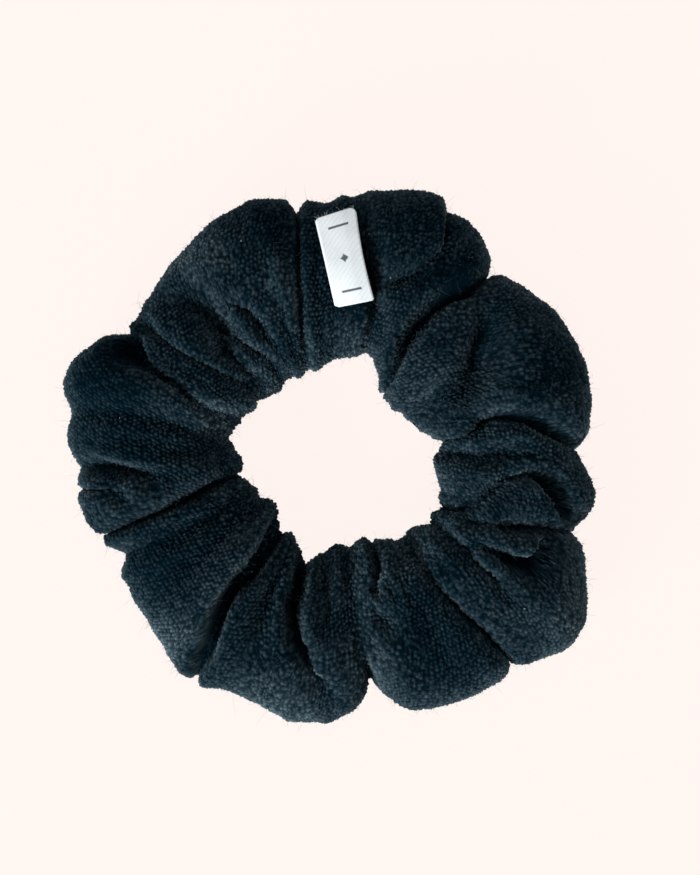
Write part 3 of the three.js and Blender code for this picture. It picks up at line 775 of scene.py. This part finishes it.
def label_ribbon(skin, material):
    """One length of woven ribbon, folded in two, with both ends held in the sleeve's closing seam."""
    a, b, c, d = label_rest(skin)
    path = ribbon_path()
    fold = RIBBON + LABEL_OPEN
    s = np.linspace(0, 1, LABEL_ROWS)
    lines = []
    for t, up, sink in path:
        # The cut ends are rounded at the corners, and don't run quite straight.
        beside = np.clip(1 - min(t * LABEL_WIDTH, (1 - t) * LABEL_WIDTH + fold) / LABEL_CORNER, 0, 1)
        trim = LABEL_CORNER / LABEL_LENGTH * (1 - math.sqrt(1 - beside**2))
        share = trim + s * (1 - trim - (trim if t > 0.5 else trim * 0.2))
        plan = label_outline(np.full_like(s, np.clip(t, -0.05, 1.1)), share)
        wave = 0.10 * np.sin(9 * share + 3 * t) * t
        height = a + b * t + c * share + d * share**2 + up - sink + wave
        lines.append(np.column_stack([plan, height]))
    middle = np.array(lines)
    along = np.gradient(middle, axis=1)
    across = np.gradient(middle, axis=0)
    face = unit(np.cross(along, across))
    upper = middle + face * RIBBON / 2
    lower = middle - face * RIBBON / 2
    rows, columns = middle.shape[:2]
    top = grid_faces(rows, columns, False)
    bottom = top[:, ::-1] + rows * columns
    i = np.arange(rows - 1)
    j = np.arange(columns - 1)
    n = rows * columns
    first = i * columns
    last = (i + 1) * columns - 1
    end = j + n - columns
    walls = [
        np.stack([first, first + n, first + columns + n, first + columns], axis=-1),
        np.stack([last, last + columns, last + columns + n, last + n], axis=-1),
        np.stack([j + 1, j + 1 + n, j + n, j], axis=-1),
        np.stack([end, end + n, end + n + 1, end + 1], axis=-1),
    ]
    points = np.concatenate([upper.reshape(-1, 3), lower.reshape(-1, 3)])
    label = to_mesh("ribbon_label", points, np.concatenate([top, bottom, *walls]), material)
    step = np.linalg.norm(np.diff(middle[:, LABEL_ROWS // 2], axis=0), axis=-1)
    u = np.repeat(np.concatenate([[0], np.cumsum(step)]), columns) / WEAVE_LENGTH
    v = np.tile(s, rows) * LABEL_LENGTH / WEAVE_LENGTH
    add_uv(label, "OFBake", np.tile(u * 0.98, 2), np.concatenate([v * 0.7, 0.5 + v * 0.7]))
    add_uv(label, "weave", np.tile(u, 2) * WEAVE_LENGTH, np.tile(v, 2) * WEAVE_LENGTH)
    add_attribute(label, "print", np.concatenate([print_marks(path, s).ravel(), np.zeros(n)]))
    return label, upper


def print_marks(path, s):
    """Plain woven marks on the face of the flap: two bars and a diamond."""
    marks = np.zeros((len(path), len(s)))
    face = np.arange(len(path)) > SINK_STEPS + LAYER_STEPS
    x = np.abs(path[:, 0][:, None] * LABEL_WIDTH - MARK_CENTRE[0])
    y = np.abs(s[None, :] * LABEL_LENGTH - MARK_CENTRE[1])
    bars = (x < BAR_HALF[0]) & (np.abs(y - BAR_OFFSET) < BAR_HALF[1])
    diamond = x + y < DIAMOND_HALF
    marks[(bars | diamond) & face[:, None]] = 1
    return marks


def label_fray(upper, material):
    """Cut ends of the ribbon's threads, standing out past its outer end."""
    rng = np.random.default_rng(5)
    paths = []
    for _ in range(FRAY_THREADS):
        row = rng.integers(20, upper.shape[0] - 14)
        start = upper[row, 0] - [0, 0, RIBBON / 2]
        outwards = unit(upper[row, 0] - upper[row, 4])
        reach = rng.uniform(0.25, 0.95)
        drift = rng.normal(0, 0.25, 3)
        paths.append([start - outwards * 0.1, start + (outwards + drift) * reach * 0.6,
                      start + (outwards + 2 * drift + [0, 0, 0.2]) * reach])
    return fibre_mesh("label_fray", paths, [0.03, 0.025, 0.012], material)


# ------------------------ the elastic

ELASTIC_RADIUS = 32.0
ELASTIC_LEVEL = 12.5
ELASTIC_WIDTH = 6.0
ELASTIC_THICKNESS = 1.2
ELASTIC_STEPS = 720  # mesh stations along it
LAP_START = 250.0  # where its ends lap
LAP_DEGREES = 21.0
LAP_RAMP = 20.0  # degrees over which the upper end rises on to the lower one
LAP_RISE = 1.5
RIBS = 8
RIB_HEIGHT = 0.12


def elastic_band(material):
    """A flat braided elastic with ribs along it, lapped on itself where it is joined."""
    along = np.linspace(0, 360 + LAP_DEGREES, ELASTIC_STEPS)
    x = np.clip((along - (360 - LAP_RAMP)) / (LAP_RAMP - 1), 0, 1)
    radius = ELASTIC_RADIUS + LAP_RISE * ease(x)
    across = np.linspace(-1, 1, 6 * RIBS + 1)
    ridge = RIB_HEIGHT * np.abs(np.sin(across * math.pi * RIBS / 2))
    edge = np.sqrt(np.clip(1 - across**6, 0, 1))
    half = (ELASTIC_THICKNESS / 2 - RIB_HEIGHT + ridge) * (0.4 + 0.6 * edge)
    z = across * ELASTIC_WIDTH / 2
    ring = np.column_stack([np.concatenate([half, -half[::-1]]), np.concatenate([z, z[::-1]])])
    angle = np.radians(LAP_START + along)
    pick = 0.035 * np.sin(along * 9)[:, None] * np.sign(ring[:, 0])[None, :]
    r = radius[:, None] + ring[None, :, 0] + pick
    level = ELASTIC_LEVEL + np.tile(ring[:, 1], (ELASTIC_STEPS, 1))
    points = np.stack([r * np.cos(angle)[:, None], r * np.sin(angle)[:, None], level], axis=-1)
    columns = len(ring)
    i, j = np.meshgrid(np.arange(ELASTIC_STEPS - 1), np.arange(columns), indexing="ij")
    n = (j + 1) % columns
    here, there = i * columns, (i + 1) * columns
    sides = np.stack([here + j, there + j, there + n, here + n], axis=-1).reshape(-1, 4)
    k = np.arange(columns // 2 - 1)
    start = np.stack([k, k + 1, columns - 2 - k, columns - 1 - k], axis=-1)
    end = start[:, ::-1] + (ELASTIC_STEPS - 1) * columns
    faces = np.concatenate([sides, start, end])
    band = to_mesh("braided_elastic", points.reshape(-1, 3), faces, material)
    u = np.repeat(along / 382, columns)
    v = np.tile(np.arange(columns) / columns, ELASTIC_STEPS)
    add_uv(band, "OFBake", u * 0.98, v * 0.98)
    add_uv(band, "weave", u * 212, np.tile(ring[:, 1], ELASTIC_STEPS))
    return band


# ------------------------ materials

def new_material(name, values):
    """A material, its node tree and its shader, with these values on the shader's own sockets."""
    material = bpy.data.materials.new(name)
    material.use_nodes = True
    shader = material.node_tree.nodes["Principled BSDF"]
    for socket, value in values.items():
        shader.inputs[socket].default_value = value
    return material, material.node_tree, shader


def add_node(tree, kind, inputs):
    """A node whose inputs are each set to a value or linked to another node's output."""
    node = tree.nodes.new("ShaderNode" + kind)
    for name, value in inputs.items():
        if isinstance(value, bpy.types.NodeSocket):
            tree.links.new(value, node.inputs[name])
        else:
            node.inputs[name].default_value = value
    return node


def object_place(tree):
    return add_node(tree, "TexCoord", {}).outputs["Object"]


def weave_place(tree):
    node = add_node(tree, "UVMap", {})
    node.uv_map = "weave"
    return node.outputs["UV"]


def attribute(tree, name):
    node = add_node(tree, "Attribute", {})
    node.attribute_name = name
    return node.outputs["Fac"]


def noise(tree, place, scale, detail=2):
    return add_node(tree, "TexNoise", {"Vector": place, "Scale": scale, "Detail": detail}).outputs["Fac"]


def bands(tree, place, scale, distortion, direction):
    inputs = {"Vector": place, "Scale": scale, "Distortion": distortion, "Detail": 1}
    node = add_node(tree, "TexWave", inputs)
    node.wave_type = "BANDS"
    node.bands_direction = direction
    return node.outputs["Fac"]


def spread(tree, value, low, high):
    """Stretches a value from 0..1 to low..high."""
    return add_node(tree, "MapRange", {"Value": value, "To Min": low, "To Max": high}).outputs["Result"]


def maths(tree, operation, first, second):
    node = add_node(tree, "Math", {0: first, 1: second})
    node.operation = operation
    return node.outputs["Value"]


def colour_ramp(tree, factor, dark, light):
    """A colour that goes from dark to light as factor goes from 0 to 1."""
    ramp = add_node(tree, "ValToRGB", {"Fac": factor})
    ramp.color_ramp.elements[0].color = dark
    ramp.color_ramp.elements[1].color = light
    return ramp


def coloured(tree, shader, colour):
    tree.links.new(colour, shader.inputs["Base Color"])


def bumped(tree, shader, height, distance, strength=1.0):
    bump = add_node(tree, "Bump", {"Height": height, "Distance": distance, "Strength": strength})
    tree.links.new(bump.outputs["Normal"], shader.inputs["Normal"])


def knit_material():
    """Near-black microfibre coloured by the tone attribute, with its painted light and shade: navy in
    the gaps, and a greyer blue-green on the loops' tips.
    """
    material, tree, shader = new_material("looped_knit", {
        "Roughness": 0.92, "Specular IOR Level": 0.0,
        "Sheen Weight": 0.03, "Sheen Roughness": 0.42, "Sheen Tint": (0.42, 0.66, 0.78, 1),
    })
    place = object_place(tree)
    patches = spread(tree, noise(tree, place, 90, 3), 0.35, 0.85)
    strands = spread(tree, noise(tree, place, 3600, 3), 0.5, 1.5)
    # The tone attribute carries painted sheen, painted patches of light and shade, and painted shade
    # between the loops and in the folds.
    shade = maths(tree, "MULTIPLY", maths(tree, "MULTIPLY", patches, strands), attribute(tree, "tone"))
    ramp = colour_ramp(tree, shade, (0.0001, 0.0014, 0.0028, 1), (0.070, 0.102, 0.118, 1))
    for position, colour in ((0.08, (0.0010, 0.0058, 0.0095, 1)), (0.3, (0.0155, 0.0275, 0.0355, 1))):
        ramp.color_ramp.elements.new(position).color = colour
    coloured(tree, shader, ramp.outputs["Color"])
    bumped(tree, shader, noise(tree, place, 2600), 0.0002, 0.8)
    return material


def fibre_material(name, grain, dark, light, values):
    """Fibres whose colour varies from one to the next."""
    material, tree, shader = new_material(name, values)
    ramp = colour_ramp(tree, noise(tree, object_place(tree), grain), dark, light)
    coloured(tree, shader, ramp.outputs["Color"])
    return material


def fuzz_material():
    return fibre_material("loose_fibre", 900, (0.012, 0.022, 0.028, 1), (0.065, 0.100, 0.120, 1),
                          {"Roughness": 0.7, "Specular IOR Level": 0.2})


def lint_material():
    return fibre_material("pale_lint", 3000, (0.22, 0.27, 0.30, 1), (0.55, 0.60, 0.64, 1),
                          {"Roughness": 0.8})


def ribbon_material():
    """Blue-white woven ribbon with a fine twill, and slate-coloured marks woven in."""
    material, tree, shader = new_material("label_ribbon", {"Roughness": 0.62, "Sheen Weight": 0.15})
    place = weave_place(tree)
    twill = bands(tree, place, 0.52, 0.6, "DIAGONAL")
    warp = bands(tree, place, 1.3, 0.2, "X")
    weft = bands(tree, place, 1.1, 0.2, "Y")
    cloth = maths(tree, "ADD", maths(tree, "ADD", twill, warp), weft)
    cloth = maths(tree, "MULTIPLY", cloth, 0.33)
    cloud = maths(tree, "MULTIPLY", noise(tree, place, 0.35, 3), 0.5)
    tone = maths(tree, "ADD", maths(tree, "MULTIPLY", cloth, 0.6), cloud)
    ramp = colour_ramp(tree, tone, (0.44, 0.50, 0.51, 1), (0.64, 0.68, 0.71, 1))
    ramp.color_ramp.elements[1].position = 0.75
    mix = add_node(tree, "Mix", {})
    mix.data_type = "RGBA"
    tree.links.new(attribute(tree, "print"), mix.inputs["Factor"])
    tree.links.new(ramp.outputs["Color"], mix.inputs[6])
    mix.inputs[7].default_value = (0.045, 0.065, 0.085, 1)
    coloured(tree, shader, mix.outputs[2])
    bumped(tree, shader, cloth, 0.00008, 0.7)
    return material


def thread_material():
    """Dark spun thread with a twist."""
    material, tree, shader = new_material("sewing_thread", {"Roughness": 0.7})
    twist = bands(tree, object_place(tree), 900, 1.5, "DIAGONAL")
    ramp = colour_ramp(tree, twist, (0.006, 0.009, 0.012, 1), (0.026, 0.034, 0.040, 1))
    coloured(tree, shader, ramp.outputs["Color"])
    bumped(tree, shader, twist, 0.00008)
    return material


def elastic_material():
    """Charcoal braided elastic: ribs with a fine crossing yarn."""
    material, tree, shader = new_material("elastic_braid", {"Roughness": 0.75})
    place = weave_place(tree)
    yarn = bands(tree, place, 0.9, 0.8, "DIAGONAL")
    mixed = maths(tree, "MULTIPLY", yarn, noise(tree, place, 2.0, 3))
    ramp = colour_ramp(tree, mixed, (0.010, 0.012, 0.014, 1), (0.075, 0.080, 0.085, 1))
    coloured(tree, shader, ramp.outputs["Color"])
    bumped(tree, shader, yarn, 0.0001)
    return material


def floor_material():
    """A pale floor that glows a little below white."""
    return new_material("pale_floor", {
        "Base Color": (0.03, 0.027, 0.026, 1), "Roughness": 1.0, "Specular IOR Level": 0.0,
        "Emission Color": (1.0, 0.905, 0.863, 1), "Emission Strength": 0.982,
    })[0]


# ------------------------ stage

VIEW_CENTRE = (4.4, 3.76)  # where the camera looks
VIEW_WIDTH = 150.5  # width of the view at the ring's middle height
CAMERA_HEIGHT = 600.0
SENSOR_WIDTH = 36
# Each light's name, place and size in metres, and power in watts.
LIGHTS = [
    ("key", (-0.65, -0.8, 0.55), 0.45, 26),
    ("side", (-0.7, 0.7, 0.3), 0.5, 4),
    ("right", (0.9, -0.2, 0.3), 0.5, 4),
]


def stage():
    """The floor, the camera above the ring, the soft lights and pale surroundings."""
    bpy.ops.mesh.primitive_plane_add(size=6, location=(0, 0, -0.0002))
    floor = bpy.context.object
    floor.name = "floor"
    floor.data.materials.append(floor_material())

    scene = bpy.context.scene
    lens = bpy.data.cameras.new("camera")
    lens.sensor_fit = "HORIZONTAL"
    lens.sensor_width = SENSOR_WIDTH
    lens.lens = SENSOR_WIDTH * CAMERA_HEIGHT / VIEW_WIDTH
    lens.clip_start = 0.01
    scene.camera = add_object("camera", lens)
    scene.camera.location = (VIEW_CENTRE[0] * MM, VIEW_CENTRE[1] * MM, (CAMERA_HEIGHT + MID_HEIGHT) * MM)

    for name, place, size, power in LIGHTS:
        light = bpy.data.lights.new(name, "AREA")
        light.size = size
        light.energy = power
        lamp = add_object(name, light)
        lamp.location = place
        lamp.rotation_euler = (-lamp.location).to_track_quat("-Z", "Y").to_euler()

    scene.world = bpy.data.worlds.new("world")
    scene.world.use_nodes = True
    background = scene.world.node_tree.nodes["Background"].inputs
    background["Color"].default_value = (1, 0.97, 0.95, 1)
    background["Strength"].default_value = 0.33
    scene.view_settings.view_transform = "Standard"


def declare(obj, body=None, replaced=()):
    """Gives a piece its body, and hides the nodes that it stands for."""
    if replaced:
        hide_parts(*replaced)
    if body:
        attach(obj, body)


stage()
sleeve, skin, normal, gap = fabric_sleeve(knit_material())
fuzz = surface_fuzz(skin, normal, gap, fuzz_material())
pale = lint_material()
lint = lint_specks(skin, pale)
ribbon = ribbon_material()
label, label_face = label_ribbon(skin, ribbon)
fray = label_fray(label_face, pale)
elastic = elastic_band(elastic_material())
thread = thread_material()
for node in ("long_seam_thread", "closing_seam_thread", "elastic_join_stitches"):
    bpy.data.objects[node].material_slots[0].material = thread

declare(sleeve, "sleeve", ["fabric_sleeve"])
declare(fuzz, "sleeve")
declare(lint, "sleeve")
declare(elastic, "elastic", ["elastic_loop"])
declare(label, None, ["label_flap", "label_tail"])
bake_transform(label)
declare(fray)
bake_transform(fray)
